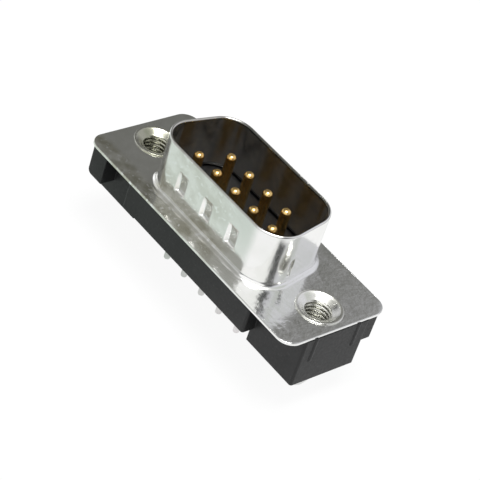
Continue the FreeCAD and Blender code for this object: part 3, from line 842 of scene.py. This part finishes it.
def build_stage():
    """A white floor that the tips touch. What the camera and reflections see of it is
    nearly its own light, with the lamp's share kept so that the shadow stays. Reflections
    see it greener on the left and dimmer far out."""
    corners = FLOOR_HALF * np.array([[-1, -1, 0], [1, -1, 0], [1, 1, 0], [-1, 1, 0]])
    corners[:, 2] = TIP_LEVEL
    floor = make_mesh("floor", [(corners, np.array([[0, 1, 2, 3]]))])
    material, tree, shader = new_material("white_floor")
    shader.inputs["Base Color"].default_value = FLOOR_GREY
    shader.inputs["Roughness"].default_value = 1.0
    path = tree.nodes.new("ShaderNodeLightPath").outputs
    seen = math_node(tree, "MAXIMUM", path["Is Camera Ray"], path["Is Glossy Ray"])
    seen = math_node(tree, "MAXIMUM", seen, path["Is Transmission Ray"])
    coordinates = tree.nodes.new("ShaderNodeTexCoord").outputs["Object"]
    to_right = remap(tree, axes(tree, coordinates)["X"], *FLOOR_LEFT_X)
    far = remap(tree, vector_node(tree, "LENGTH", coordinates)["Value"], *FLOOR_FAR)
    mirrored = mix_colours(tree, to_right, FLOOR_MIRRORED_LEFT, WHITE)
    mirrored = mix_colours(tree, far, mirrored, FLOOR_MIRRORED_FAR)
    glow = place(tree, "ShaderNodeEmission", Strength=1.0)
    tree.links.new(mix_colours(tree, path["Is Camera Ray"], mirrored, WHITE),
                   glow.inputs["Color"])
    mix = tree.nodes.new("ShaderNodeMixShader")
    tree.links.new(math_node(tree, "MULTIPLY", seen, FLOOR_GLOW_SHARE), mix.inputs["Fac"])
    tree.links.new(shader.outputs["BSDF"], mix.inputs[1])
    tree.links.new(glow.outputs["Emission"], mix.inputs[2])
    tree.links.new(mix.outputs["Shader"], tree.nodes["Material Output"].inputs["Surface"])
    dress(floor, material)


# What the metal mirrors: each panel's azimuth and elevation, the angles from its middle
# where it is full and where it has faded out, all in degrees, and its colour. A later
# panel covers an earlier one.
ROOM_DIM = (0.1, 0.1, 0.1)
PANELS = [
    (142, 38, 18, 40, (0.165, 0.165, 0.153)),
    (62, 30, 30, 56.5, (0.76, 0.76, 0.81)),
    (0, 90, 18, 42, (0.7, 0.7, 0.69)),
    (-130, 42, 10, 32, (0.36, 0.36, 0.34)),
    (-160, 8, 14, 30, (0.8, 0.8, 0.78)),
    (-66, 34, 37, 43, (1.1, 1.1, 1.1)),
    (52, 48, 12, 20, (0.6, 0.62, 0.6)),
    (168, 60, 8, 22, (0.42, 0.42, 0.4)),
    (-122, 12, 8, 20, (0.55, 0.56, 0.54)),
    (-3, 36, 5, 13, (0.035, 0.035, 0.035)),
    (172, 4, 8, 16, (1.3, 1.3, 1.3)),
]


def panel_mask(tree, azimuth, elevation, full, gone):
    """1 within the full angle of the panel's middle and 0 beyond the angle where it is
    gone. Between them it falls smoothly, by the cosine of the angle."""
    around, up = np.radians(azimuth), np.radians(elevation)
    middle = (np.cos(up) * np.cos(around), np.cos(up) * np.sin(around), np.sin(up))
    looking = tree.nodes.new("ShaderNodeTexCoord").outputs["Generated"]
    fade = place(tree, "ShaderNodeMapRange", {"interpolation_type": "SMOOTHSTEP"},
                 From_Min=np.cos(np.radians(gone)), From_Max=np.cos(np.radians(full)))
    cosine = vector_node(tree, "DOT_PRODUCT", looking, middle)["Value"]
    tree.links.new(cosine, fade.inputs["Value"])
    return fade.outputs["Result"]


def build_world():
    """White to the camera. To the object it is a dim room with lit panels."""
    world = bpy.data.worlds.new("room")
    bpy.context.scene.world = world
    world.use_nodes = True
    tree = world.node_tree
    back = tree.nodes["Background"]
    room = ROOM_DIM
    for azimuth, elevation, full, gone, colour in PANELS:
        room = mix_colours(tree, panel_mask(tree, azimuth, elevation, full, gone), room, colour)
    path = tree.nodes.new("ShaderNodeLightPath").outputs
    tree.links.new(mix_colours(tree, path["Is Camera Ray"], room, WHITE), back.inputs["Color"])
    back.inputs["Strength"].default_value = 1.0


LAMP_PLACE = (0.04, -0.02, 0.5)
LAMP_AIM = (0.0, 0.0, 0.004)
LAMP_SIZE = 0.22
LAMP_WATTS = 2.6


def build_lamp():
    """A square soft lamp overhead that faces the object's middle."""
    lamp = bpy.data.lights.new("overhead", "AREA")
    lamp.size = LAMP_SIZE
    lamp.energy = LAMP_WATTS
    holder = bpy.data.objects.new("overhead", lamp)
    holder.location = LAMP_PLACE
    aim = Vector(LAMP_AIM) - Vector(LAMP_PLACE)
    holder.rotation_euler = aim.to_track_quat("-Z", "Y").to_euler()
    bpy.context.scene.collection.objects.link(holder)


# The photo's camera, fitted to the plug's known sizes
CAMERA_RIGHT = (0.60276, 0.75464, 0.25921)
CAMERA_DOWN = (0.62031, -0.23884, -0.74711)
CAMERA_FORWARD = (-0.50189, 0.61112, -0.61207)
CAMERA_PLACE = (90.814 * MM, -109.069 * MM, 113.689 * MM)
FOCAL_PIXELS = 1919.5
PICTURE_PIXELS = 480.0
SENSOR_WIDE = 36.0


def build_camera():
    """A camera at the fitted place, whose focal length over its sensor's width is the
    fitted focal length over the picture's width."""
    camera = bpy.data.cameras.new("photo_camera")
    camera.sensor_width = SENSOR_WIDE
    camera.lens = FOCAL_PIXELS / PICTURE_PIXELS * SENSOR_WIDE
    camera.clip_start = 0.01
    camera.clip_end = 20.0
    holder = bpy.data.objects.new("photo_camera", camera)
    turn = Matrix((CAMERA_RIGHT, -Vector(CAMERA_DOWN), -Vector(CAMERA_FORWARD))).transposed()
    holder.matrix_world = Matrix.Translation(Vector(CAMERA_PLACE)) @ turn.to_4x4()
    bpy.context.scene.collection.objects.link(holder)
    bpy.context.scene.camera = holder


# Assembly

tin_shell = shell_metal()
nickel = insert_metal()
lock_tin = plated_metal("tinned_lock", LOCK_GREY, LOCK_BRIGHT, LOCK_ROUGH, LOCK_BUMP)
gold_and_tin = contact_metal()
housing_black = black_moulding("housing_black", HOUSING_DARK, HOUSING_CLOUD,
                               HOUSING_ROUGH, specular=0.33)
insulator_black = black_moulding("insulator_black", INSULATOR_DARK, INSULATOR_CLOUD,
                                 INSULATOR_ROUGH, specular=0.36)

shell = build_shell()
dress(shell, tin_shell)
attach(shell, "root")
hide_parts("front_shell")

for contact in range(1, 10):
    pin = build_contact(contact)
    dress(pin, gold_and_tin)
    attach(pin, "root")
    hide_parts("contact_%d" % contact)

for side in ("left", "right"):
    insert = build_insert(side)
    dress(insert, nickel)
    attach(insert, "root")
    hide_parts("threaded_insert_" + side)
    dress(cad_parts["boardlock_" + side], lock_tin)

dress(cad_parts["rear_housing"], housing_black)
dress(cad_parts["pin_insulator"], insulator_black)

build_stage()
build_world()
build_lamp()
build_camera()
bpy.context.scene.view_settings.view_transform = "Standard"
